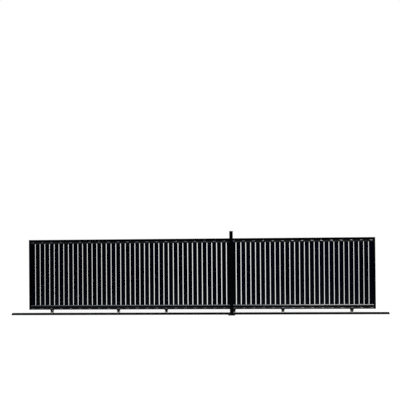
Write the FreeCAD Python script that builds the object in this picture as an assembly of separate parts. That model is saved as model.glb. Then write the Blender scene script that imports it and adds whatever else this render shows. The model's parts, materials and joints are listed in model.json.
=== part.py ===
import FreeCAD
import Part
import math
import os

# Sliding driveway gate with upright slats, its floor track and its guide post, in millimetres.
# X runs along the track, Y from the guide post towards the leaf, Z up.
# The origin is the middle of the underside of the post's base plate.

# Slats
slat_count = 71
slat_width = 87.0
slat_thickness = 16.0
slat_wall = 1.5
slat_inner_corner = 0.5
slat_gap = 13.0
slat_shown = 1280.0
slat_lift_play = 3.0

# Slat channels: a slot for the slats between two sloping shoulders
# A slat goes up into the deep upper slot and comes down into the lower one
top_channel_height = 38.0
top_channel_slot_depth = 30.0
bottom_channel_height = 16.0
bottom_channel_slot_depth = 10.0
channel_wall = 2.5
channel_foot_width = 40.0
channel_foot_edge = 2.5
channel_slot_play = 0.5

# Frame of the leaf
frame_depth = 50.0
frame_wall = 3.0
frame_inner_corner = 1.0
top_rail_height = 50.0
bottom_rail_height = 76.0
stile_width = 35.0
stile_cap_thickness = 3.0
slats_per_rail = 24

# Floor track: flat flanges and a ridge with 45 degree flanks
track_width = 110.0
track_flange = 5.0
track_ridge_height = 36.0
track_ridge_wall = 4.0
track_ridge_radius = 3.0
track_past_left = 371.5
track_past_right = 271.5
track_hole_radius = 4.5
track_hole_edge = 9.5
track_hole_end = 120.0
track_hole_pairs = 10

# Wheels: a groove with 45 degree flanks runs on the track's ridge
wheel_slats_from_middle = (-31, -17, -7, 7, 17, 31)
wheel_radius = 32.0
wheel_groove_depth = 9.0
wheel_groove_flat = 2.0
wheel_rim_land = 3.0
wheel_rim_chamfer = 1.0
wheel_rim_depth = 13.0
wheel_web = 16.0
wheel_hub_radius = 11.0
wheel_flank_clearance = 0.3
wheel_bore_clearance = 0.08
hub_side_clearance = 1.0
rim_side_clearance = 5.0

# Axle bolts
axle_radius = 5.0
axle_hole_clearance = 0.1
axle_head_flats = 16.0
hexagon_end_share = 0.95
axle_head_height = 6.0
axle_nut_height = 8.0
axle_end = 3.0

# Forks, pressed from plate
fork_plate = 4.0
fork_bend = 2.0
fork_length = 80.0
fork_shoulder_width = 66.0
fork_tip_radius = 17.0
fork_height = 44.0

# Guide post
post_width = 70.0
post_wall = 3.0
post_inner_corner = 1.5
post_above_leaf = 146.0
post_from_leaf_middle = 645.0
post_cap_height = 8.0
post_cap_round = 5.0
post_cap_plug = 20.0
post_cap_play = 0.4
base_plate_length = 140.0
base_plate_depth = 110.0
base_plate_thickness = 10.0
base_plate_corner = 6.0
base_hole_radius = 6.0
base_hole_edge = 18.0

# Guide bracket and rollers over the leaf's top
bracket_width = 44.0
bracket_plate = 6.0
bracket_bend = 4.0
bracket_leg = 80.0
bracket_over_leaf = 12.0
bracket_past_roller = 22.0
bracket_hole_radius = 4.5
bracket_hole_end = 16.0
bracket_hole_spacing = 40.0
roller_radius = 16.0
roller_height = 45.0
roller_chamfer = 2.0
roller_to_leaf = 5.0
roller_bore_clearance = 0.08
roller_end_play = 0.5
roller_bolt_radius = 5.0
roller_bolt_hole_clearance = 0.1
roller_bolt_flats = 17.0
roller_bolt_head = 7.0
roller_bolt_collar = 5.0
roller_bolt_collar_radius = 8.0
roller_bolt_end = 4.0

# Places that follow from the sizes
ROOT2 = math.sqrt(2.0)
ROOT3 = math.sqrt(3.0)
QUARTER_TURN = 90
slat_pitch = slat_width + slat_gap
slat_span = (slat_count - 1) * slat_pitch + slat_width
leaf_length = slat_span + 2 * stile_width
channel_heights = top_channel_height + bottom_channel_height
leaf_height = top_rail_height + bottom_rail_height + channel_heights + slat_shown
leaf_middle_x = -post_from_leaf_middle
track_middle_y = base_plate_depth / 2 + track_width / 2
ridge_point_z = track_flange + track_ridge_height
wheel_groove_point = wheel_radius - wheel_groove_depth - wheel_groove_flat / 2
axle_z = ridge_point_z + wheel_groove_point + wheel_flank_clearance * ROOT2
wheel_half_width = wheel_groove_depth + wheel_groove_flat / 2 + wheel_rim_land
fork_inner_width = 2 * (wheel_half_width + rim_side_clearance)
fork_outer_width = fork_inner_width + 2 * fork_plate
hub_half_width = fork_inner_width / 2 - hub_side_clearance
leaf_bottom_z = axle_z + fork_height
leaf_top_z = leaf_bottom_z + leaf_height
channel_bottom_z = leaf_bottom_z + bottom_rail_height
channel_top_z = leaf_top_z - top_rail_height
leaf_front_y = track_middle_y - frame_depth / 2
leaf_rear_y = track_middle_y + frame_depth / 2
post_top_z = leaf_top_z + post_above_leaf
bracket_z = leaf_top_z + bracket_over_leaf
roller_top_z = bracket_z - roller_bolt_collar - roller_end_play
track_left_x = leaf_middle_x - leaf_length / 2 - track_past_left
track_length = leaf_length + track_past_left + track_past_right
inner_left_x = leaf_middle_x - slat_span / 2
joint_offset = slats_per_rail * slat_pitch / 2
rail_ends = (
    inner_left_x,
    leaf_middle_x - joint_offset,
    leaf_middle_x + joint_offset,
    leaf_middle_x + slat_span / 2,
)
side_names = ("left", "middle", "right")

X_AXIS = FreeCAD.Vector(1, 0, 0)
Y_AXIS = FreeCAD.Vector(0, 1, 0)
Z_AXIS = FreeCAD.Vector(0, 0, 1)
ORIGIN = FreeCAD.Vector(0, 0, 0)


def save(name, shape):
    """Writes one node."""
    shape.exportStep(os.path.join("parts", name + ".step"))


def rounded_outline(width, height, radius):
    """A rectangle with round corners around the origin of the XY plane."""
    x, y = width / 2, height / 2
    corners = ((x, y), (-x, y), (-x, -y), (x, -y))
    edges = []
    ends = []
    for turn, (corner_x, corner_y) in enumerate(corners):
        centre = FreeCAD.Vector(
            corner_x - math.copysign(radius, corner_x),
            corner_y - math.copysign(radius, corner_y),
            0,
        )
        start = turn * QUARTER_TURN
        arc = Part.makeCircle(radius, centre, Z_AXIS, start, start + QUARTER_TURN)
        edges.append(arc)
        ends.append((arc.firstVertex().Point, arc.lastVertex().Point))
    for here, after in zip(ends, ends[1:] + ends[:1]):
        edges.append(Part.makeLine(here[1], after[0]))
    return Part.Wire(Part.__sortEdges__(edges))


def rounded_bar(width, height, radius, length):
    """A solid bar of that outline along Z, from Z 0."""
    return Part.Face(rounded_outline(width, height, radius)).extrude(Z_AXIS * length)


def tube(width, height, wall, inner_corner, length):
    """A rectangular hollow section along Z, from Z 0."""
    outside = rounded_bar(width, height, inner_corner + wall, length)
    inside = rounded_bar(width - 2 * wall, height - 2 * wall, inner_corner, length)
    return outside.cut(inside)


def lay_along_x(shape):
    """Turns what was made along Z to run along X, its first side along Y and its second along Z."""
    turned = shape.copy()
    turned.rotate(ORIGIN, FreeCAD.Vector(1, 1, 1), 120)
    return turned


def moved(shape, x, y, z):
    copy = shape.copy()
    copy.translate(FreeCAD.Vector(x, y, z))
    return copy


def mirrored_outline(half):
    """The closed face of a half outline and its mirror image, in the YZ plane."""
    points = [FreeCAD.Vector(0, y, z) for y, z in half]
    points += [FreeCAD.Vector(0, -y, z) for y, z in reversed(half) if y > 0]
    return Part.Face(Part.makePolygon(points + points[:1]))


def hexagon(flats, height):
    """A hexagonal prism along Z, from Z 0, its corners chamfered at 30 degrees at both ends."""
    corner = flats / ROOT3
    points = [
        FreeCAD.Vector(corner * math.cos(math.radians(a)), corner * math.sin(math.radians(a)), 0)
        for a in range(0, 420, 60)
    ]
    prism = Part.Face(Part.makePolygon(points)).extrude(Z_AXIS * height)
    end_radius = flats * hexagon_end_share / 2
    wide_radius = end_radius + height * ROOT3
    upper = Part.makeCone(wide_radius, end_radius, height)
    lower = Part.makeCone(end_radius, wide_radius, height)
    return prism.common(upper).common(lower)


def slat_group(first, last):
    """Upright slats by number, standing on the web of the lower channel."""
    lift = bottom_channel_slot_depth + slat_lift_play
    length = slat_shown + bottom_channel_slot_depth + top_channel_slot_depth - lift
    foot_z = channel_bottom_z + bottom_channel_height - bottom_channel_slot_depth
    slat = tube(slat_width, slat_thickness, slat_wall, slat_inner_corner, length)
    places = [inner_left_x + slat_width / 2 + (n - 1) * slat_pitch for n in range(first, last + 1)]
    return Part.Compound([moved(slat, x, track_middle_y, foot_z) for x in places])


def channel_section(height, slot_depth):
    """The channel's face in the YZ plane, foot at Z 0 and slot open upwards."""
    slot = slat_thickness / 2 + channel_slot_play
    lip = slot + channel_wall
    foot = channel_foot_width / 2
    web = height - slot_depth
    slope = (foot - lip) / (height - channel_foot_edge)
    inside_foot = foot - channel_wall * math.hypot(1.0, slope)
    chamber_top = channel_foot_edge + (inside_foot - lip) / slope
    half = (
        (0, web),
        (slot, web),
        (slot, height),
        (lip, height),
        (foot, channel_foot_edge),
        (foot, 0),
        (inside_foot, 0),
        (inside_foot, channel_foot_edge),
        (lip, chamber_top),
        (lip, web - channel_wall),
        (0, web - channel_wall),
    )
    return mirrored_outline(half)


def bottom_channel(start_x, end_x):
    section = channel_section(bottom_channel_height, bottom_channel_slot_depth)
    return moved(section.extrude(X_AXIS * (end_x - start_x)), start_x, track_middle_y, channel_bottom_z)


def top_channel(start_x, end_x):
    section = channel_section(top_channel_height, top_channel_slot_depth)
    section.rotate(ORIGIN, X_AXIS, 180)
    return moved(section.extrude(X_AXIS * (end_x - start_x)), start_x, track_middle_y, channel_top_z)


def rail(start_x, end_x, height, middle_z):
    section = tube(frame_depth, height, frame_wall, frame_inner_corner, end_x - start_x)
    return moved(lay_along_x(section), start_x, track_middle_y, middle_z)


def stile(middle_x):
    length = leaf_height - 2 * stile_cap_thickness
    section = tube(stile_width, frame_depth, frame_wall, frame_inner_corner, length)
    return moved(section, middle_x, track_middle_y, leaf_bottom_z + stile_cap_thickness)


def stile_caps(places):
    cap = rounded_bar(stile_width, frame_depth, frame_inner_corner + frame_wall, stile_cap_thickness)
    levels = (leaf_bottom_z, leaf_top_z - stile_cap_thickness)
    return Part.Compound([moved(cap, x, track_middle_y, z) for x in places for z in levels])


def track_section():
    """Flanges with a hollow ridge between them, open below."""
    edge = track_width / 2
    inside = ridge_point_z - track_ridge_wall * ROOT2
    outside = mirrored_outline(
        ((0, ridge_point_z), (track_ridge_height, track_flange), (edge, track_flange), (edge, 0), (0, 0))
    )
    hollow = mirrored_outline(((0, inside), (inside, 0)))
    return outside.cut(hollow)


def track():
    bar = track_section().extrude(X_AXIS * track_length)
    top = [
        edge
        for edge in bar.Edges
        if edge.BoundBox.ZMin > ridge_point_z - track_ridge_wall
    ]
    bar = bar.makeFillet(track_ridge_radius, top)
    spacing = (track_length - 2 * track_hole_end) / (track_hole_pairs - 1)
    row = track_width / 2 - track_hole_edge
    drill = Part.makeCylinder(track_hole_radius, track_flange)
    holes = [
        moved(drill, track_hole_end + n * spacing, side * row, 0)
        for n in range(track_hole_pairs)
        for side in (-1, 1)
    ]
    return moved(bar.cut(Part.Compound(holes)), track_left_x, track_middle_y, 0)


def wheel():
    """A grooved wheel around the Y axis."""
    groove_root = wheel_radius - wheel_groove_depth
    rim_inside = wheel_radius - wheel_rim_depth
    half = (
        (axle_radius + wheel_bore_clearance, hub_half_width),
        (wheel_hub_radius, hub_half_width),
        (wheel_hub_radius, wheel_web / 2),
        (rim_inside, wheel_web / 2),
        (rim_inside, wheel_half_width),
        (wheel_radius - wheel_rim_chamfer, wheel_half_width),
        (wheel_radius, wheel_half_width - wheel_rim_chamfer),
        (wheel_radius, wheel_half_width - wheel_rim_land),
        (groove_root, wheel_groove_flat / 2),
    )
    points = [FreeCAD.Vector(r, y, 0) for r, y in half]
    points += [FreeCAD.Vector(r, -y, 0) for r, y in reversed(half)]
    return Part.Face(Part.makePolygon(points + points[:1])).revolve(ORIGIN, Y_AXIS, 360)


def fork_outline():
    """The fork seen along the axle: a flange at the top, cheeks that taper to a round tip."""
    shoulder = fork_shoulder_width / 2
    flange = fork_length / 2
    shoulder_z = fork_height - fork_plate
    reach = math.hypot(shoulder, shoulder_z)
    angle = math.atan2(shoulder_z, shoulder) - math.acos(fork_tip_radius / reach)
    touch_x = fork_tip_radius * math.cos(angle)
    touch_z = fork_tip_radius * math.sin(angle)
    right = [
        FreeCAD.Vector(flange, 0, fork_height),
        FreeCAD.Vector(flange, 0, shoulder_z),
        FreeCAD.Vector(shoulder, 0, shoulder_z),
        FreeCAD.Vector(touch_x, 0, touch_z),
    ]
    left = [FreeCAD.Vector(-p.x, 0, p.z) for p in reversed(right)]
    tip = Part.Arc(right[-1], FreeCAD.Vector(0, 0, -fork_tip_radius), left[0]).toShape()
    edges = [Part.makeLine(a, b) for a, b in zip(right, right[1:])]
    edges.append(tip)
    edges += [Part.makeLine(a, b) for a, b in zip(left, left[1:])]
    edges.append(Part.makeLine(left[-1], right[0]))
    return Part.Face(Part.Wire(edges))


def fork():
    """Plate bent to a U, trimmed to its outline and drilled for the axle. The axle is at the origin."""
    depth = fork_height + fork_tip_radius
    outer = Part.makeBox(fork_length, fork_outer_width, depth)
    inner = Part.makeBox(fork_length, fork_inner_width, depth - fork_plate)
    outer = outer.makeFillet(fork_bend + fork_plate, upper_long_edges(outer))
    inner = inner.makeFillet(fork_bend, upper_long_edges(inner))
    bent = outer.cut(moved(inner, 0, fork_plate, 0))
    bent = moved(bent, -fork_length / 2, -fork_outer_width / 2, -fork_tip_radius)
    trim = moved(fork_outline().extrude(Y_AXIS * fork_outer_width), 0, -fork_outer_width / 2, 0)
    hole = Part.makeCylinder(
        axle_radius + axle_hole_clearance,
        fork_outer_width,
        FreeCAD.Vector(0, -fork_outer_width / 2, 0),
        Y_AXIS,
    )
    return bent.common(trim).cut(hole)


def upper_long_edges(block):
    """The two edges along X at the top of a box."""
    box = block.BoundBox
    return [
        edge
        for edge in block.Edges
        if edge.BoundBox.XLength > box.XLength / 2 and edge.BoundBox.ZMin > box.ZMax - box.ZLength / 2
    ]


def axle():
    """A bolt along Y through the fork, with its head in front and its nut behind."""
    half = fork_outer_width / 2
    bolt = Part.makeCylinder(axle_radius, 2 * half + axle_nut_height + axle_end)
    bolt = bolt.fuse(moved(hexagon(axle_head_flats, axle_head_height), 0, 0, -axle_head_height))
    bolt = bolt.fuse(moved(hexagon(axle_head_flats, axle_nut_height), 0, 0, 2 * half))
    bolt.rotate(ORIGIN, X_AXIS, -90)
    return moved(bolt.removeSplitter(), 0, -half, 0)


def post_base_plate():
    plate = rounded_bar(base_plate_length, base_plate_depth, base_plate_corner, base_plate_thickness)
    drill = Part.makeCylinder(base_hole_radius, base_plate_thickness)
    hole_x = base_plate_length / 2 - base_hole_edge
    hole_y = base_plate_depth / 2 - base_hole_edge
    holes = [moved(drill, sx * hole_x, sy * hole_y, 0) for sx in (-1, 1) for sy in (-1, 1)]
    return plate.cut(Part.Compound(holes))


def guide_post():
    length = post_top_z - post_cap_height - base_plate_thickness
    return moved(tube(post_width, post_width, post_wall, post_inner_corner, length), 0, 0, base_plate_thickness)


def post_cap():
    """A cap with a rounded top and a plug that reaches into the post."""
    cap = rounded_bar(post_width, post_width, post_inner_corner + post_wall, post_cap_height)
    rim = [edge for edge in cap.Edges if edge.BoundBox.ZMin > post_cap_height / 2]
    cap = cap.makeFillet(min(post_cap_round, post_cap_height / 2), rim)
    inside = post_width - 2 * (post_wall + post_cap_play)
    plug = rounded_bar(inside, inside, post_inner_corner, post_cap_plug)
    cap = cap.fuse(moved(plug, 0, 0, -post_cap_plug))
    return moved(cap, 0, 0, post_top_z - post_cap_height)


def roller_places():
    return (
        leaf_front_y - roller_to_leaf - roller_radius,
        leaf_rear_y + roller_to_leaf + roller_radius,
    )


def guide_bracket():
    """Plate bent to an L: one leg up the back of the post, the arm over the leaf's top."""
    start_y = post_width / 2
    end_y = roller_places()[1] + bracket_past_roller
    outer = Part.makeBox(bracket_width, end_y - start_y, bracket_leg)
    inner = Part.makeBox(bracket_width, end_y - start_y - bracket_plate, bracket_leg - bracket_plate)
    outer = outer.makeFillet(bracket_bend + bracket_plate, heel_edge(outer))
    inner = inner.makeFillet(bracket_bend, heel_edge(inner))
    bent = outer.cut(moved(inner, 0, bracket_plate, bracket_plate))
    bent = moved(bent, -bracket_width / 2, start_y, bracket_z)
    radius = roller_bolt_radius + roller_bolt_hole_clearance
    bores = [moved(Part.makeCylinder(radius, bracket_plate), 0, y, bracket_z) for y in roller_places()]
    top_hole_z = bracket_z + bracket_leg - bracket_hole_end
    for hole_z in (top_hole_z, top_hole_z - bracket_hole_spacing):
        place = FreeCAD.Vector(0, start_y, hole_z)
        bores.append(Part.makeCylinder(bracket_hole_radius, bracket_plate, place, Y_AXIS))
    return bent.cut(Part.Compound(bores))


def heel_edge(block):
    """The lower edge along X on the side towards the post."""
    box = block.BoundBox
    return [
        edge
        for edge in block.Edges
        if edge.BoundBox.XLength > box.XLength / 2
        and edge.BoundBox.ZMax < box.ZMin + box.ZLength / 2
        and edge.BoundBox.YMax < box.YMin + box.YLength / 2
    ]


def guide_roller(place_y):
    body = Part.makeCylinder(roller_radius, roller_height)
    body = body.makeChamfer(roller_chamfer, [edge for edge in body.Edges if edge.Closed])
    bore = Part.makeCylinder(roller_bolt_radius + roller_bore_clearance, roller_height)
    return moved(body.cut(bore), 0, place_y, roller_top_z - roller_height)


def guide_roller_bolt(place_y):
    """A bolt along Z: its head under the roller, a collar under the arm, a nut on top of it."""
    head_z = roller_top_z - roller_height
    arm_top_z = bracket_z + bracket_plate
    shank = Part.makeCylinder(roller_bolt_radius, arm_top_z + roller_bolt_head + roller_bolt_end - head_z)
    bolt = moved(shank, 0, place_y, head_z)
    for level in (head_z - roller_bolt_head, arm_top_z):
        bolt = bolt.fuse(moved(hexagon(roller_bolt_flats, roller_bolt_head), 0, place_y, level))
    collar = Part.makeCylinder(roller_bolt_collar_radius, roller_bolt_collar)
    return bolt.fuse(moved(collar, 0, place_y, bracket_z - roller_bolt_collar)).removeSplitter()


def make_ground_pieces():
    save("track", track())
    save("post_base_plate", post_base_plate())
    save("guide_post", guide_post())
    save("post_cap", post_cap())
    save("guide_bracket", guide_bracket())
    front_y, rear_y = roller_places()
    save("guide_roller_front", guide_roller(front_y))
    save("guide_roller_rear", guide_roller(rear_y))
    save("guide_roller_bolts", Part.Compound([guide_roller_bolt(y) for y in roller_places()]))


def make_leaf():
    joint_slat = (slat_count + 1 - slats_per_rail) // 2
    last_joint_slat = slat_count + 1 - joint_slat
    groups = ((1, joint_slat), (joint_slat + 1, last_joint_slat - 1), (last_joint_slat, slat_count))
    for name, start_x, end_x, group in zip(side_names, rail_ends, rail_ends[1:], groups):
        top_z = leaf_top_z - top_rail_height / 2
        bottom_z = leaf_bottom_z + bottom_rail_height / 2
        save("top_rail_" + name, rail(start_x, end_x, top_rail_height, top_z))
        save("bottom_rail_" + name, rail(start_x, end_x, bottom_rail_height, bottom_z))
        save("top_channel_" + name, top_channel(start_x, end_x))
        save("bottom_channel_" + name, bottom_channel(start_x, end_x))
        save("slats_" + name, slat_group(*group))
    stile_offset = (leaf_length - stile_width) / 2
    stile_places = (leaf_middle_x - stile_offset, leaf_middle_x + stile_offset)
    save("left_stile", stile(stile_places[0]))
    save("right_stile", stile(stile_places[1]))
    save("stile_caps", stile_caps(stile_places))


def make_wheels():
    pieces = (("wheel_fork_", fork()), ("wheel_axle_", axle()), ("wheel_", wheel()))
    for number, slats in enumerate(wheel_slats_from_middle, 1):
        place_x = leaf_middle_x + slats * slat_pitch
        for name, shape in pieces:
            save(name + str(number), moved(shape, place_x, track_middle_y, axle_z))


os.makedirs("parts", exist_ok=True)
make_ground_pieces()
make_leaf()
make_wheels()
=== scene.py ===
import json
import math
import bmesh
import bpy
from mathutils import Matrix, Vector


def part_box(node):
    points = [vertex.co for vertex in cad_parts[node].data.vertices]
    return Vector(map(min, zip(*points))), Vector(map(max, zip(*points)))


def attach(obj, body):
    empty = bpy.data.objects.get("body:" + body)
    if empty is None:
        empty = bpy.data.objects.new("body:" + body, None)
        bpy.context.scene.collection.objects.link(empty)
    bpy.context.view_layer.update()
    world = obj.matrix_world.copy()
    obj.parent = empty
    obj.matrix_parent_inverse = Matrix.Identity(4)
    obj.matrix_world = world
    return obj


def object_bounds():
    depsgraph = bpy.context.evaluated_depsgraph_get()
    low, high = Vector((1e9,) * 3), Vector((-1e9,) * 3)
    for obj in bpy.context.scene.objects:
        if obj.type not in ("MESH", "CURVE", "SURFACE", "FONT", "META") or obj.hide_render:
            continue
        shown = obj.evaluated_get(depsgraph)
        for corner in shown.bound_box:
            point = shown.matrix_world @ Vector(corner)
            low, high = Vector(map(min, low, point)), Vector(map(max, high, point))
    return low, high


# Sliding driveway gate: finishes, fastenings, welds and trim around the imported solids, in metres.

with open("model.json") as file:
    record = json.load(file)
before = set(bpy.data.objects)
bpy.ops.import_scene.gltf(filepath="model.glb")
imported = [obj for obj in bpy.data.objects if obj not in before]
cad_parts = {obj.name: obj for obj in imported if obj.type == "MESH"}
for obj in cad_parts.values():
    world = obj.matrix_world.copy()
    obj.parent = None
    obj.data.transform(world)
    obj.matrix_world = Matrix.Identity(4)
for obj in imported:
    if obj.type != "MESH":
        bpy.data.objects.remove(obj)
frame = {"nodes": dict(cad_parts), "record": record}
cad_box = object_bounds()
nodes = frame["nodes"]
mounts = {mount["name"]: mount for mount in frame["record"]["mounts"]}

# Camera, fitted to the photograph's edges
IMAGE_SIDE = 400.0
SENSOR = 36.0
FOCAL_PIXELS = 420.0
FRAME_RISE_PIXELS = 43.2
CAMERA_PLACE = Vector((-0.337, -8.581, 1.423))
CAMERA_UP_TILT = math.radians(0.320)
CAMERA_ROLL = math.radians(0.472)
CAMERA_TURN = math.radians(1.984)
CAMERA_REACH = 300.0

# Colours, linear
COAT_BLUE_BLACK = (0.0004, 0.0006, 0.0028, 1)
COAT_BLACK = (0.0009, 0.0009, 0.0016, 1)
CHANNEL_BLACK = (0.0030, 0.0030, 0.0040, 1)
STEEL_BLACK = (0.0010, 0.0010, 0.0014, 1)
TRACK_BLACK = (0.0016, 0.0016, 0.0016, 1)
PLASTIC_BLACK = (0.0022, 0.0022, 0.0024, 1)
NYLON_BLACK = (0.012, 0.012, 0.013, 1)
WORN_STEEL = (0.10, 0.098, 0.092, 1)
ZINC_GREY = (0.42, 0.42, 0.40, 1)
ZINC_BLACK = (0.15, 0.15, 0.155, 1)
ZINC_YELLOW = (0.76, 0.73, 0.60, 1)
ZINC_OLIVE = (0.62, 0.59, 0.47, 1)
DUST = (0.060, 0.058, 0.056, 1)
FLOOR_GREY = (0.18, 0.18, 0.18, 1)
BLACK = (0, 0, 0, 1)
WHITE = (1, 1, 1, 1)

# Repeats and seams
SIDES = ("left", "middle", "right")
SLAT_PITCH = 0.100
SLAT_COUNT = 71
KEEPER_STEP = 2
WHEEL_COUNT = 6
RAIL_JOINT_OFFSET = 1.2
SEAM_HALF_WIDTH = 0.0004
SEAM_FADE = 0.0012
RIDGE_WEAR_HEIGHT = 0.007

# Plates and holes that the fastenings sit on
TRACK_FLANGE = 0.005
BRACKET_PLATE = 0.006
BRACKET_HOLE_DROP = 0.016
BRACKET_HOLE_SPACING = 0.040
FORK_FLANGE = 0.004
FORK_BOLT_FROM_MIDDLE = 0.029
FORK_BOLT_FROM_AXIS = 0.011

# Bolts and nuts: across flats, head, washer and the stud's end
TRACK_BOLT = dict(flats=0.013, head=0.0065, washer_radius=0.0080, washer=0.0016,
                  stud_radius=0.004, stud=0.003)
POST_NUT = dict(flats=0.017, head=0.009, washer_radius=0.0105, washer=0.002,
                stud_radius=0.005, stud=0.009)
BRACKET_BOLT = dict(flats=0.013, head=0.0065, washer_radius=0.0085, washer=0.0016,
                    stud_radius=0.004, stud=0.002)
FORK_BOLT = dict(flats=0.013, head=0.0055, washer_radius=0.0080, washer=0.0014,
                 stud_radius=0.004, stud=0.0004)
HEXAGON_SIDES = 6
WASHER_SIDES = 28
STUD_SIDES = 16
CHAMFER_SHARE = 0.14
CHAMFER_SLOPE = 0.6
WASHER_EDGE_SHARE = 0.3
STUD_SHOULDER_SHARE = 0.7
STUD_TIP_SHARE = 0.75

# Weld beads: sections as steps along the bead's two directions
FILLET = ((-0.0010, -0.0005), (0.0060, -0.0005), (0.0040, 0.0024), (0.0018, 0.0046), (-0.0010, 0.0060))
CAP = ((-0.0040, -0.0006), (0.0040, -0.0006), (0.0030, 0.0009), (0.0, 0.0014), (-0.0030, 0.0009))
RIPPLE = 0.0035
RIPPLE_STEPS = 4
RIPPLE_SWELL = 0.09
POST_WELD_END_GAP = 0.003
CORNER_WELD_END_GAP = 0.006

# Cover strips and keeper plates
STRIP_DEPTH = 0.0033
STRIP_EDGE = 0.0005
STRIP_SUNK = 0.0004
STRIP_LOW = 0.0150
STRIP_BEVEL_LOW = 0.0268
STRIP_HIGH = 0.0324
STRIP_END_GAP = 0.0008
STRIP_SECTION = (
    (-STRIP_SUNK, STRIP_LOW),
    (STRIP_DEPTH - STRIP_EDGE, STRIP_LOW),
    (STRIP_DEPTH, STRIP_LOW + STRIP_EDGE),
    (STRIP_DEPTH, STRIP_BEVEL_LOW),
    (-STRIP_SUNK, STRIP_HIGH),
)
KEEPER_LENGTH = 0.058
KEEPER_HEIGHT = 0.018
KEEPER_LAND = 0.0006
KEEPER_BEVEL = 0.0068
KEEPER_RISE = 0.0045
LOWER_KEEPER_LIFT = 0.025
UPPER_KEEPER_DROP = 0.010
UPPER_KEEPER_SUNK = 0.0055
RIVET_RADIUS = 0.0036
RIVET_HEIGHT = 0.0022
RIVET_SUNK = 0.0010
RIVET_SIDES = 18

# Smooth shading stops at edges sharper than this
SHARP_EDGE = math.radians(35)

# Studio: floor, backdrop and lamps
FLOOR_HALF_SIDE = 80.0
FLOOR_DROP = 0.0005
FLOOR_NEAR = 4.5
FLOOR_FAR = 8.0
FLOOR_SQUEEZE_X = 0.5
FLOOR_NEAR_WHITE = 0.84
FLOOR_BEHIND = (0.0, 0.5)
# Painted reflection: distances from the track over which the floor's glow in reflections fades out
FLOOR_PAINTED_REFLECTION_STRIP = (0.2, 0.6)
BACKDROP_TURN = 0.4
FRONT_SHINE = 0.06
BACK_SHINE = 0.9
FILL_LIGHT = 0.25
OVERHEAD_FROM = Vector((0, -0.8, 6.0))
OVERHEAD_STRENGTH = 1.95
OVERHEAD_SPREAD = math.radians(60)
RIGHT_TARGET_X = 2.2
RIGHT_FROM = Vector((2.0, -3.2, 4.7))
RIGHT_WATTS = 280.0
RIGHT_WIDTH = 3.5
LEFT_TARGET_X = -1.2
LEFT_FROM = Vector((-0.6, -3.2, 4.7))
LEFT_WATTS = 125.0
LEFT_WIDTH = 8.0
LEFT_TINT = (0.50, 0.72, 1.0)
SOFTBOX_HEIGHT = 2.0

# Places of the solids that the added pieces sit on
track_low, track_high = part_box("track")
post_low, post_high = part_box("guide_post")
bracket_low, bracket_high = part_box("guide_bracket")
leaf_low, leaf_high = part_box("stile_caps")
rail_low, rail_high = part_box("bottom_rail_left")
top_rail_low, top_rail_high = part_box("top_rail_left")
top_channel_low, top_channel_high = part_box("top_channel_left")
plate_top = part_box("post_base_plate")[1].z
left_stile_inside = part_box("left_stile")[1].x
track_y = (track_low.y + track_high.y) / 2
leaf_x = (leaf_low.x + leaf_high.x) / 2


class Finish:
    """A Principled material under construction, placed by the solids' own coordinates."""

    def __init__(self, name, **values):
        self.material = bpy.data.materials.new(name)
        self.material.use_nodes = True
        self.tree = self.material.node_tree
        self.surface = self.tree.nodes["Principled BSDF"]
        for socket, value in values.items():
            self.surface.inputs[socket.replace("_", " ")].default_value = value
        self.place = self.add("ShaderNodeTexCoord").outputs["Object"]
        self.geometry = self.add("ShaderNodeNewGeometry")

    def add(self, kind, **settings):
        node = self.tree.nodes.new(kind)
        for name, value in settings.items():
            setattr(node, name, value)
        return node

    def join(self, source, socket):
        if isinstance(source, (int, float, tuple)):
            socket.default_value = source
        else:
            self.tree.links.new(source, socket)

    def math(self, operation, first, second=0.0):
        node = self.add("ShaderNodeMath", operation=operation)
        self.join(first, node.inputs[0])
        self.join(second, node.inputs[1])
        return node.outputs[0]

    def stretched(self, x, y, z):
        node = self.add("ShaderNodeVectorMath", operation="MULTIPLY")
        self.join(self.place, node.inputs[0])
        node.inputs[1].default_value = (x, y, z)
        return node.outputs[0]

    def noise(self, scale, detail=3.0, roughness=0.55, vector=None):
        node = self.add("ShaderNodeTexNoise")
        self.join(vector or self.place, node.inputs["Vector"])
        node.inputs["Scale"].default_value = scale
        node.inputs["Detail"].default_value = detail
        node.inputs["Roughness"].default_value = roughness
        return node.outputs["Fac"]

    def spread(self, source, low, high, to_low=0.0, to_high=1.0):
        node = self.add("ShaderNodeMapRange", interpolation_type="SMOOTHSTEP")
        self.join(source, node.inputs["Value"])
        limits = {"From Min": low, "From Max": high, "To Min": to_low, "To Max": to_high}
        for name, value in limits.items():
            node.inputs[name].default_value = value
        return node.outputs["Result"]

    def mix(self, amount, first, second):
        node = self.add("ShaderNodeMix", data_type="RGBA")
        self.join(amount, node.inputs["Factor"])
        colours = [socket for socket in node.inputs if socket.type == "RGBA"]
        self.join(first, colours[0])
        self.join(second, colours[1])
        return next(socket for socket in node.outputs if socket.type == "RGBA")

    def axis(self, source, index):
        node = self.add("ShaderNodeSeparateXYZ")
        self.join(source, node.inputs[0])
        return node.outputs[index]

    def along(self, index):
        return self.axis(self.place, index)

    def facing_up(self):
        return self.axis(self.geometry.outputs["Normal"], 2)

    def bump(self, height, strength, distance):
        node = self.add("ShaderNodeBump")
        self.join(height, node.inputs["Height"])
        node.inputs["Strength"].default_value = strength
        node.inputs["Distance"].default_value = distance
        self.join(node.outputs["Normal"], self.surface.inputs["Normal"])

    def colour(self, source):
        self.join(source, self.surface.inputs["Base Color"])

    def rough(self, source):
        self.join(source, self.surface.inputs["Roughness"])


def shade(colour, factor):
    return tuple(channel * factor for channel in colour[:3]) + (1,)


def slat_tone(finish):
    """A shade of its own for each slat, from its place along the leaf."""
    from_middle = finish.math("SUBTRACT", finish.along(0), leaf_x)
    number = finish.math("ROUND", finish.math("DIVIDE", from_middle, SLAT_PITCH))
    dice = finish.add("ShaderNodeTexWhiteNoise", noise_dimensions="1D")
    finish.join(number, dice.inputs["W"])
    return dice.outputs["Value"]


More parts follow.
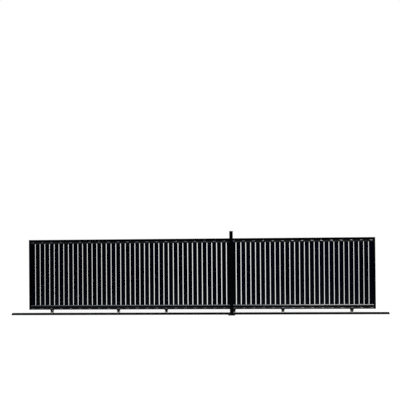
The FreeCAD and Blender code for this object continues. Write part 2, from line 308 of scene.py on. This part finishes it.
def rail_seam(finish):
    """Hairlines where the rail lengths meet."""
    from_middle = finish.math("ABSOLUTE", finish.math("SUBTRACT", finish.along(0), leaf_x))
    from_joint = finish.math("ABSOLUTE", finish.math("SUBTRACT", from_middle, RAIL_JOINT_OFFSET))
    return finish.spread(from_joint, low=SEAM_HALF_WIDTH, high=SEAM_FADE)


def powder_coat(name, colour, rough_range, ledge_dust, splash_dust, gloss, detail=None):
    """Powder coat: orange peel, faint streaks, dust on what faces up and splashes near the ground."""
    finish = Finish(name, Specular_IOR_Level=gloss, Metallic=0.0)
    cloud = finish.noise(scale=2.3, detail=4.0)
    upright = finish.stretched(x=90.0, y=90.0, z=1.7)
    streak = finish.noise(scale=1.0, detail=5.0, roughness=0.6, vector=upright)
    tone = finish.spread(finish.math("MULTIPLY", cloud, streak), low=0.12, high=0.42)
    coat = finish.mix(tone, shade(colour, factor=0.65), shade(colour, factor=1.45))
    rough_low, rough_high = rough_range
    worn = finish.spread(streak, low=0.3, high=0.7, to_low=rough_low, to_high=rough_high)
    fine_peel = finish.noise(scale=520.0, detail=2.0)
    broad_peel = finish.noise(scale=70.0, detail=2.0)
    broad_share = 1.5
    peel = finish.math("ADD", fine_peel, finish.math("MULTIPLY", broad_peel, broad_share))
    if detail == "slats":
        tone_share = 0.5
        rough_share = 0.08
        own = slat_tone(finish)
        lighter = shade(colour, factor=1.9)
        coat = finish.mix(finish.math("MULTIPLY", own, tone_share), coat, lighter)
        worn = finish.math("ADD", worn, finish.math("MULTIPLY", own, rough_share))
    if detail == "seams":
        seam_depth = 4.0
        seam = rail_seam(finish)
        coat = finish.mix(seam, shade(colour, factor=0.2), coat)
        peel = finish.math("ADD", peel, finish.math("MULTIPLY", seam, seam_depth))
    level = finish.spread(finish.facing_up(), low=0.2, high=0.7)
    ledge = finish.math("MULTIPLY", level, ledge_dust)
    splash = finish.spread(finish.along(2), low=0.7, high=0.05, to_low=0.0, to_high=splash_dust)
    patch = finish.spread(cloud, low=0.25, high=0.75, to_low=0.4, to_high=1.0)
    dust = finish.math("MULTIPLY", finish.math("ADD", ledge, splash), patch)
    dust_roughness = 0.4
    finish.colour(finish.mix(dust, coat, DUST))
    finish.rough(finish.math("ADD", worn, finish.math("MULTIPLY", dust, dust_roughness)))
    finish.bump(peel, strength=0.12, distance=0.0006)
    return finish.material


def track_paint():
    """Brushed-on black paint, polished through along the ridge where the wheels run."""
    finish = Finish("track_paint", Specular_IOR_Level=0.04, Metallic=0.0)
    cloud = finish.noise(scale=6.0, detail=5.0)
    lengthwise = finish.stretched(x=3.0, y=220.0, z=220.0)
    brushed = finish.noise(scale=1.0, detail=4.0, roughness=0.6, vector=lengthwise)
    tone = finish.spread(cloud, low=0.3, high=0.7)
    coat = finish.mix(tone, shade(TRACK_BLACK, factor=0.7), shade(TRACK_BLACK, factor=1.6))
    crest = finish.spread(finish.along(2), low=track_high.z - RIDGE_WEAR_HEIGHT, high=track_high.z)
    polish = finish.spread(brushed, low=0.50, high=0.66, to_low=0.0, to_high=0.30)
    wear = finish.math("MULTIPLY", crest, polish)
    flat = finish.spread(finish.facing_up(), low=0.8, high=1.0)
    patch = finish.spread(cloud, low=0.45, high=0.8, to_low=0.0, to_high=0.12)
    dust = finish.math("MULTIPLY", flat, patch)
    finish.colour(finish.mix(dust, finish.mix(wear, coat, WORN_STEEL), DUST))
    finish.rough(finish.spread(brushed, low=0.3, high=0.7, to_low=0.5, to_high=0.7))
    pits = finish.noise(scale=260.0, detail=2.0)
    finish.bump(finish.math("ADD", brushed, pits), strength=0.15, distance=0.0008)
    return finish.material


def zinc(name, colour, stain, grain, rough_range):
    """Plated steel with cloudy passivation and fine turning marks."""
    finish = Finish(name, Metallic=0.85)
    cloud = finish.noise(scale=60.0, detail=4.0, roughness=0.65)
    fine = finish.noise(scale=grain, detail=3.0)
    plate = finish.mix(finish.spread(cloud, low=0.35, high=0.7), colour, stain)
    marks = finish.spread(fine, low=0.55, high=0.8, to_low=0.0, to_high=0.35)
    finish.colour(finish.mix(marks, plate, shade(colour, factor=0.45)))
    rough_low, rough_high = rough_range
    finish.rough(finish.spread(cloud, low=0.3, high=0.7, to_low=rough_low, to_high=rough_high))
    finish.bump(fine, strength=0.12, distance=0.0004)
    return finish.material


def moulded(name, colour):
    """Moulded plastic with a fine spark-eroded grain."""
    finish = Finish(name, Specular_IOR_Level=0.12)
    cloud = finish.noise(scale=9.0, detail=3.0)
    grain = finish.noise(scale=1400.0, detail=2.0)
    tone = finish.spread(cloud, low=0.3, high=0.7)
    finish.colour(finish.mix(tone, shade(colour, factor=0.8), shade(colour, factor=1.3)))
    finish.rough(finish.spread(grain, low=0.3, high=0.7, to_low=0.5, to_high=0.65))
    finish.bump(grain, strength=0.2, distance=0.0003)
    return finish.material


finishes = {
    "slat_coat": powder_coat("slat_coat", COAT_BLUE_BLACK, rough_range=(0.26, 0.38), ledge_dust=0.2,
                             splash_dust=0.06, gloss=0.035, detail="slats"),
    "frame_coat": powder_coat("frame_coat", COAT_BLACK, rough_range=(0.28, 0.40), ledge_dust=0.3,
                              splash_dust=0.04, gloss=0.045, detail="seams"),
    "channel_coat": powder_coat("channel_coat", CHANNEL_BLACK, rough_range=(0.20, 0.30), ledge_dust=0.3,
                                splash_dust=0.05, gloss=0.6, detail="seams"),
    "steel_coat": powder_coat("steel_coat", STEEL_BLACK, rough_range=(0.32, 0.46), ledge_dust=0.2,
                              splash_dust=0.03, gloss=0.05),
    "track_paint": track_paint(),
    "black_plastic": moulded("black_plastic", PLASTIC_BLACK),
    "nylon": moulded("nylon", NYLON_BLACK),
    "zinc_bolt": zinc("zinc_bolt", ZINC_GREY, stain=shade(ZINC_GREY, factor=0.7), grain=420.0,
                      rough_range=(0.34, 0.55)),
    "black_zinc": zinc("black_zinc", ZINC_BLACK, stain=shade(ZINC_BLACK, factor=0.6), grain=420.0,
                       rough_range=(0.22, 0.36)),
    "zinc_wheel": zinc("zinc_wheel", ZINC_YELLOW, stain=ZINC_OLIVE, grain=300.0,
                       rough_range=(0.34, 0.55)),
}


def dress_nodes():
    """Gives each solid the finish that the record's slot names."""
    slots = {part["node"]: part["material_slot"] for part in frame["record"]["subparts"]}
    for name, node in nodes.items():
        for slot in node.material_slots:
            slot.material = finishes[slots[name]]


def join_rings(bm, rings):
    """Skins rings of points in a row and closes both ends."""
    count = len(rings[0])
    for lower, upper in zip(rings, rings[1:]):
        for k in range(count):
            after = (k + 1) % count
            bm.faces.new((lower[k], lower[after], upper[after], upper[k]))
    bm.faces.new(list(reversed(rings[0])))
    bm.faces.new(rings[-1])


def lathe(bm, place, direction, profile, sides):
    """Turns a profile of radius and height around a direction from a place; six sides make a hexagon."""
    turn = Vector((0, 0, 1)).rotation_difference(Vector(direction)).to_matrix()
    angles = [2 * math.pi * k / sides for k in range(sides)]
    rings = []
    for radius, height in profile:
        points = [Vector((radius * math.cos(a), radius * math.sin(a), height)) for a in angles]
        rings.append([bm.verts.new(Vector(place) + turn @ p) for p in points])
    join_rings(bm, rings)


def hexagon_profile(flats, base, height):
    """A hexagon head or nut with its top corners chamfered."""
    corner = flats / math.sqrt(3.0)
    chamfer = corner * CHAMFER_SHARE
    shoulder = base + height - chamfer * CHAMFER_SLOPE
    return ((corner, base), (corner, shoulder), (corner - chamfer, base + height))


def washer_profile(radius, base, thickness):
    edge = thickness * WASHER_EDGE_SHARE
    return ((radius, base), (radius, base + thickness - edge), (radius - edge, base + thickness))


def stud_profile(radius, base, height):
    shoulder = base + height * STUD_SHOULDER_SHARE
    return ((radius, base), (radius, shoulder), (radius * STUD_TIP_SHARE, base + height))


def dome_profile(radius, base, height, steps=5):
    turns = [math.pi / 2 * k / steps for k in range(steps)]
    return tuple((radius * math.cos(t), base + height * math.sin(t)) for t in turns)


def add_bolt(bm, place, direction, flats, head, washer_radius, washer, stud_radius, stud):
    """A washer, a hexagon nut and the stud's tapered end."""
    lathe(bm, place, direction, washer_profile(washer_radius, 0.0, washer), WASHER_SIDES)
    lathe(bm, place, direction, hexagon_profile(flats, washer, head), HEXAGON_SIDES)
    lathe(bm, place, direction, stud_profile(stud_radius, washer + head, stud), STUD_SIDES)


def add_bead(bm, start, end, wide, high, section):
    """A rippled weld bead on a straight line, its section given along two directions."""
    start, end, wide, high = Vector(start), Vector(end), Vector(wide), Vector(high)
    length = (end - start).length
    steps = max(RIPPLE_STEPS, int(length / RIPPLE) * RIPPLE_STEPS)
    rings = []
    for k in range(steps + 1):
        swell = 1.0 + RIPPLE_SWELL * math.sin(2 * math.pi * k / RIPPLE_STEPS)
        middle = start.lerp(end, k / steps)
        rings.append([bm.verts.new(middle + (wide * u + high * v) * swell) for u, v in section])
    join_rings(bm, rings)


def finish_piece(name, bm, body, slot):
    """Makes an object of the mesh, dresses it and lets it ride on its body."""
    mesh = bpy.data.meshes.new(name)
    bmesh.ops.recalc_face_normals(bm, faces=bm.faces)
    bm.to_mesh(mesh)
    bm.free()
    mesh.shade_smooth()
    mesh.set_sharp_from_angle(angle=SHARP_EDGE)
    mesh.materials.append(finishes[slot])
    piece = bpy.data.objects.new(name, mesh)
    bpy.context.scene.collection.objects.link(piece)
    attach(piece, body)


def pattern_spacing(mount):
    """A bolt pattern's spacings along X and Y in metres."""
    millimetres = 1000
    return mount["dims"]["spacing_x_mm"] / millimetres, mount["dims"]["spacing_y_mm"] / millimetres


def track_anchors():
    """Bolts down both flanges of the track, at the pattern's spacing from end to end."""
    pattern = mounts["track_anchors_left"]
    spacing, rows = pattern_spacing(pattern)
    first = pattern["pos_m"][0] - spacing / 2
    pairs = round((track_high.x - first) / spacing)
    flange_top = track_low.z + TRACK_FLANGE
    bm = bmesh.new()
    for n in range(pairs):
        for side in (-1, 1):
            place = (first + n * spacing, track_y + side * rows / 2, flange_top)
            add_bolt(bm, place, (0, 0, 1), **TRACK_BOLT)
    finish_piece("track_anchor_bolts", bm, "fixed", "track_paint")


def post_anchors():
    """Nuts on the four anchors of the post's base plate."""
    spacing_x, spacing_y = pattern_spacing(mounts["post_anchors"])
    bm = bmesh.new()
    for sx in (-1, 1):
        for sy in (-1, 1):
            place = (sx * spacing_x / 2, sy * spacing_y / 2, plate_top)
            add_bolt(bm, place, (0, 0, 1), **POST_NUT)
    finish_piece("post_anchor_nuts", bm, "fixed", "steel_coat")


def post_foot_weld():
    """Fillet beads around the post's foot."""
    half = (post_high.x - post_low.x) / 2
    run = half - POST_WELD_END_GAP
    bm = bmesh.new()
    for out_x, out_y in ((1, 0), (0, 1), (-1, 0), (0, -1)):
        out = Vector((out_x, out_y, 0))
        across = Vector((-out_y, out_x, 0))
        foot = out * half + Vector((0, 0, plate_top))
        add_bead(bm, foot - across * run, foot + across * run, out, (0, 0, 1), FILLET)
    finish_piece("post_foot_weld", bm, "fixed", "steel_coat")


def corner_welds():
    """Beads where the rails meet the stiles, on the front and the back of the leaf."""
    bm = bmesh.new()
    for x in (left_stile_inside, 2 * leaf_x - left_stile_inside):
        for y, side in ((rail_low.y, -1), (rail_high.y, 1)):
            for low, high in ((rail_low, rail_high), (top_rail_low, top_rail_high)):
                start = (x, y, low.z + CORNER_WELD_END_GAP)
                end = (x, y, high.z - CORNER_WELD_END_GAP)
                add_bead(bm, start, end, (1, 0, 0), (0, side, 0), CAP)
    finish_piece("corner_welds", bm, "gate", "frame_coat")


def bracket_bolts():
    """Two bolts through the bracket's leg into the post."""
    top_hole = bracket_high.z - BRACKET_HOLE_DROP
    bm = bmesh.new()
    for z in (top_hole, top_hole - BRACKET_HOLE_SPACING):
        add_bolt(bm, (0, bracket_low.y + BRACKET_PLATE, z), (0, 1, 0), **BRACKET_BOLT)
    finish_piece("bracket_bolts", bm, "fixed", "zinc_bolt")


def fork_bolts():
    """Four bolts up through each fork's flange into the bottom rail."""
    bm = bmesh.new()
    for number in range(1, WHEEL_COUNT + 1):
        low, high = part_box("wheel_fork_" + str(number))
        middle = (low.x + high.x) / 2
        for sx in (-1, 1):
            for sy in (-1, 1):
                x = middle + sx * FORK_BOLT_FROM_MIDDLE
                y = track_y + sy * FORK_BOLT_FROM_AXIS
                add_bolt(bm, (x, y, high.z - FORK_FLANGE), (0, 0, -1), **FORK_BOLT)
    finish_piece("fork_bolts", bm, "gate", "steel_coat")


def stadium(half_length, half_height, steps=8):
    """Points around an oblong with round ends, as X and Z."""
    middle = half_length - half_height
    points = []
    for sign in (1, -1):
        for k in range(steps + 1):
            angle = math.pi * k / steps - math.pi / 2
            x = middle + half_height * math.cos(angle)
            points.append((sign * x, sign * half_height * math.sin(angle)))
    return points


def add_keeper(bm, place, side, sunk):
    """An oblong pressed plate with bevelled edges and a domed rivet, its back sunk into what it holds."""
    place = Vector(place)
    face = KEEPER_LAND + KEEPER_RISE
    rings = []
    for inset, rise in ((0.0, -sunk), (0.0, KEEPER_LAND), (KEEPER_BEVEL, face)):
        outline = stadium(KEEPER_LENGTH / 2 - inset, KEEPER_HEIGHT / 2 - inset)
        rings.append([bm.verts.new(place + Vector((x, side * rise, z))) for x, z in outline])
    join_rings(bm, rings)
    rivet = dome_profile(RIVET_RADIUS, -RIVET_SUNK, RIVET_HEIGHT)
    lathe(bm, place + Vector((0, side * face, 0)), (0, side, 0), rivet, RIVET_SIDES)


def rail_strips():
    """A bevelled cover strip along the front and the back of each length of the bottom rail."""
    bm = bmesh.new()
    for side_name in SIDES:
        low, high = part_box("bottom_rail_" + side_name)
        for side, face in ((-1, low.y), (1, high.y)):
            rings = []
            for x in (low.x + STRIP_END_GAP, high.x - STRIP_END_GAP):
                points = [(x, face + side * out, low.z + z) for out, z in STRIP_SECTION]
                rings.append([bm.verts.new(point) for point in points])
            join_rings(bm, rings)
    finish_piece("rail_strips", bm, "gate", "channel_coat")


def slat_keepers():
    """Keeper plates at every second slat: on the bottom rail's strips and on the top channel's sides."""
    foot = (top_channel_high.y - top_channel_low.y) / 2
    low_z = rail_low.z + LOWER_KEEPER_LIFT
    high_z = top_channel_high.z - UPPER_KEEPER_DROP
    half = SLAT_COUNT // 2
    bm = bmesh.new()
    for n in range(-half, half + 1, KEEPER_STEP):
        x = leaf_x + n * SLAT_PITCH
        for side, face in ((-1, rail_low.y), (1, rail_high.y)):
            add_keeper(bm, (x, face + side * STRIP_DEPTH, low_z), side, STRIP_DEPTH)
            add_keeper(bm, (x, track_y + side * foot, high_z), side, UPPER_KEEPER_SUNK)
    finish_piece("slat_keepers", bm, "gate", "black_zinc")


def studio_floor():
    """A white floor that keeps the object's shadow and melts into the white background further off; in
    reflections it glows white behind the object and, as a painted reflection, in a strip beside the track.
    """
    finish = Finish("studio_floor", Roughness=0.9, Specular_IOR_Level=0.0, Emission_Color=WHITE)
    reach = finish.add("ShaderNodeVectorMath", operation="LENGTH")
    finish.join(finish.stretched(x=FLOOR_SQUEEZE_X, y=1.0, z=0.0), reach.inputs[0])
    far = finish.spread(reach.outputs["Value"], low=FLOOR_NEAR, high=FLOOR_FAR)
    finish.colour(finish.mix(far, FLOOR_GREY, BLACK))
    rays = finish.add("ShaderNodeLightPath")
    behind_low, behind_high = FLOOR_BEHIND
    behind = finish.spread(finish.along(1), low=behind_low, high=behind_high)
    # Painted reflection: to glossy rays the floor also glows white in a strip beside the track, so the
    # wheels mirror a bright floor there; the rest of the floor before the object does not glow in
    # reflections
    painted_strip_near, painted_strip_far = FLOOR_PAINTED_REFLECTION_STRIP
    from_track = finish.math("ABSOLUTE", finish.math("SUBTRACT", finish.along(1), track_y))
    painted_reflection_strip = finish.spread(from_track, low=painted_strip_near, high=painted_strip_far, to_low=1.0, to_high=0.0)
    backdrop_and_painted_reflection = finish.math("MAXIMUM", behind, painted_reflection_strip)
    mirrored_backdrop_and_painted_reflection = finish.math("MULTIPLY", rays.outputs["Is Glossy Ray"], backdrop_and_painted_reflection)
    seen = finish.math("MAXIMUM", rays.outputs["Is Camera Ray"], rays.outputs["Is Transmission Ray"])
    seen = finish.math("MAXIMUM", seen, mirrored_backdrop_and_painted_reflection)
    level = finish.spread(far, low=0.0, high=1.0, to_low=FLOOR_NEAR_WHITE, to_high=1.0)
    finish.join(finish.math("MULTIPLY", seen, level), finish.surface.inputs["Emission Strength"])
    mesh = bpy.data.meshes.new("studio_floor")
    turns = ((-1, -1), (1, -1), (1, 1), (-1, 1))
    corners = [(sx * FLOOR_HALF_SIDE, sy * FLOOR_HALF_SIDE, 0.0) for sx, sy in turns]
    mesh.from_pydata(corners, [], [(0, 1, 2, 3)])
    mesh.materials.append(finish.material)
    floor = bpy.data.objects.new("studio_floor", mesh)
    floor.location.z = cad_box[0].z - FLOOR_DROP
    bpy.context.scene.collection.objects.link(floor)


def studio_world():
    """White to the camera, bright behind the object and dim before it in reflections, and a soft fill."""
    world = bpy.data.worlds.new("studio")
    world.use_nodes = True
    bpy.context.scene.world = world
    tree = world.node_tree

    def maths(operation, first, second):
        node = tree.nodes.new("ShaderNodeMath")
        node.operation = operation
        for socket, source in zip(node.inputs, (first, second)):
            if isinstance(source, float):
                socket.default_value = source
            else:
                tree.links.new(source, socket)
        return node.outputs[0]

    rays = tree.nodes.new("ShaderNodeLightPath")
    direction = tree.nodes.new("ShaderNodeTexCoord")
    split = tree.nodes.new("ShaderNodeSeparateXYZ")
    tree.links.new(direction.outputs["Generated"], split.inputs[0])
    backdrop = tree.nodes.new("ShaderNodeMapRange")
    backdrop.interpolation_type = "SMOOTHSTEP"
    tree.links.new(split.outputs["Y"], backdrop.inputs["Value"])
    backdrop.inputs["From Min"].default_value = -BACKDROP_TURN
    backdrop.inputs["From Max"].default_value = BACKDROP_TURN
    backdrop.inputs["To Min"].default_value = FRONT_SHINE
    backdrop.inputs["To Max"].default_value = BACK_SHINE
    shine = maths("MULTIPLY", backdrop.outputs["Result"], rays.outputs["Is Glossy Ray"])
    white = maths("MAXIMUM", rays.outputs["Is Camera Ray"], rays.outputs["Is Transmission Ray"])
    light = maths("MULTIPLY", rays.outputs["Is Diffuse Ray"], FILL_LIGHT)
    strength = maths("MAXIMUM", maths("MAXIMUM", shine, white), light)
    background = tree.nodes["Background"]
    background.inputs["Color"].default_value = WHITE
    tree.links.new(strength, background.inputs["Strength"])


def hang_lamp(name, kind, target, offset, energy, **settings):
    """A lamp at an offset from what it points at."""
    light = bpy.data.lights.new(name, kind)
    light.energy = energy
    for setting, value in settings.items():
        setattr(light, setting, value)
    lamp = bpy.data.objects.new(name, light)
    lamp.location = target + offset
    lamp.rotation_euler = (-offset).to_track_quat("-Z", "Y").to_euler()
    bpy.context.scene.collection.objects.link(lamp)


def studio_lamps():
    """Soft light from above, a softbox before the right end and a wide bluish one before the left half."""
    middle = Vector((leaf_x, track_y, (leaf_low.z + leaf_high.z) / 2))
    right = middle + Vector((RIGHT_TARGET_X, 0, 0))
    left = middle + Vector((LEFT_TARGET_X, 0, 0))
    hang_lamp("overhead_light", "SUN", middle, OVERHEAD_FROM, OVERHEAD_STRENGTH, angle=OVERHEAD_SPREAD)
    hang_lamp("right_softbox", "AREA", right, RIGHT_FROM, RIGHT_WATTS,
              shape="RECTANGLE", size=RIGHT_WIDTH, size_y=SOFTBOX_HEIGHT)
    hang_lamp("left_softbox", "AREA", left, LEFT_FROM, LEFT_WATTS,
              color=LEFT_TINT, shape="RECTANGLE", size=LEFT_WIDTH, size_y=SOFTBOX_HEIGHT)


def photo_camera():
    """The photograph's camera, its frame raised so that the object sits low in it."""
    camera = bpy.data.cameras.new("photo_camera")
    camera.sensor_width = SENSOR
    camera.lens = SENSOR * FOCAL_PIXELS / IMAGE_SIDE
    camera.shift_y = FRAME_RISE_PIXELS / IMAGE_SIDE
    camera.clip_end = CAMERA_REACH
    holder = bpy.data.objects.new("photo_camera", camera)
    holder.location = CAMERA_PLACE
    holder.rotation_euler = (math.pi / 2 + CAMERA_UP_TILT, CAMERA_ROLL, CAMERA_TURN)
    bpy.context.scene.collection.objects.link(holder)
    bpy.context.scene.camera = holder


dress_nodes()
track_anchors()
post_anchors()
post_foot_weld()
corner_welds()
bracket_bolts()
fork_bolts()
rail_strips()
slat_keepers()
studio_floor()
studio_world()
studio_lamps()
photo_camera()
bpy.context.scene.view_settings.view_transform = "Standard"
